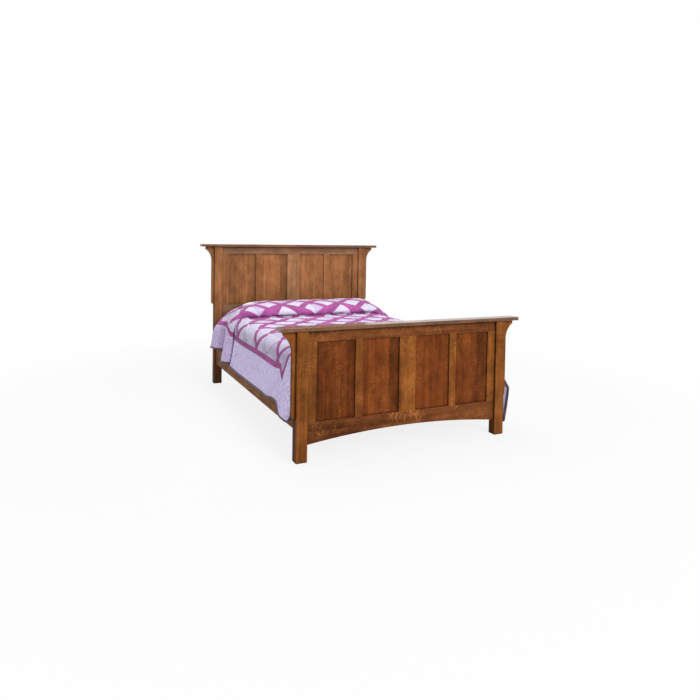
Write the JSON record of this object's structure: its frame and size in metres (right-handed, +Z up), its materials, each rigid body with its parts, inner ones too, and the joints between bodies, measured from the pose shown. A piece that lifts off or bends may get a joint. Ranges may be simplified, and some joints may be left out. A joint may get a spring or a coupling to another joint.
{
  "type": "panel bed",
  "caption": "Mission style oak panel bed: square posts, overhanging caps, recessed panels, long corbels, arched footboard rail, side rails and slats, made up with a patchwork quilt.",
  "frame": {"origin": "on the floor under the centre of the bed", "axes": "+Y from the footboard to the headboard, +Z up, +X to the right as seen from the foot"},
  "size_m": [1.9, 2.26, 1.355],
  "materials": {
    "oak_uprights": "satin stained quarter-sawn oak, grain upright",
    "oak_rails": "satin stained quarter-sawn oak, grain across",
    "oak_panels": "satin stained quarter-sawn oak, a darker board, grain upright",
    "oak_caps": "satin stained oak with a light sheen on top",
    "poplar_base": "planed, unfinished",
    "hardware_steel": "zinc plated",
    "glide_nylon": "matte",
    "mattress_ticking": "woven ticking",
    "box_spring_cloth": "woven cover",
    "pillow_cotton": "plain cotton",
    "quilt_cotton": "pieced and quilted cotton"
  },
  "bodies": {
    "root": {"box_spring": "box_spring_cloth", "cleat_left": "poplar_base", "cleat_right": "poplar_base", "footboard_arched_rail": "oak_rails", "footboard_cap": "oak_caps", "footboard_centre_stile": "oak_uprights", "footboard_corbel_left": "oak_uprights", "footboard_corbel_right": "oak_uprights", "footboard_mullion_left": "oak_uprights", "footboard_mullion_right": "oak_uprights", "footboard_panel_1": "oak_panels", "footboard_panel_2": "oak_panels", "footboard_panel_3": "oak_panels", "footboard_panel_4": "oak_panels", "footboard_post_left": "oak_uprights", "footboard_post_right": "oak_uprights", "footboard_stile_left": "oak_uprights", "footboard_stile_right": "oak_uprights", "footboard_top_rail": "oak_rails", "headboard_cap": "oak_caps", "headboard_centre_stile": "oak_uprights", "headboard_corbel_left": "oak_uprights", "headboard_corbel_right": "oak_uprights", "headboard_lower_rail": "oak_rails", "headboard_mullion_left": "oak_uprights", "headboard_mullion_right": "oak_uprights", "headboard_panel_1": "oak_panels", "headboard_panel_2": "oak_panels", "headboard_panel_3": "oak_panels", "headboard_panel_4": "oak_panels", "headboard_post_left": "oak_uprights", "headboard_post_right": "oak_uprights", "headboard_stile_left": "oak_uprights", "headboard_stile_right": "oak_uprights", "headboard_top_rail": "oak_rails", "leg_glides": "glide_nylon", "mattress": "mattress_ticking", "pillow_left": "pillow_cotton", "pillow_right": "pillow_cotton", "post_slot_plates": "hardware_steel", "quilt": "quilt_cotton", "rail_hook_plates": "hardware_steel", "side_rail_left": "oak_rails", "side_rail_right": "oak_rails", "slat_1": "poplar_base", "slat_2": "poplar_base", "slat_3": "poplar_base", "slat_4": "poplar_base", "slat_5": "poplar_base", "support_leg_1": "poplar_base", "support_leg_2": "poplar_base", "support_leg_3": "poplar_base"}
  },
  "joints": []
}
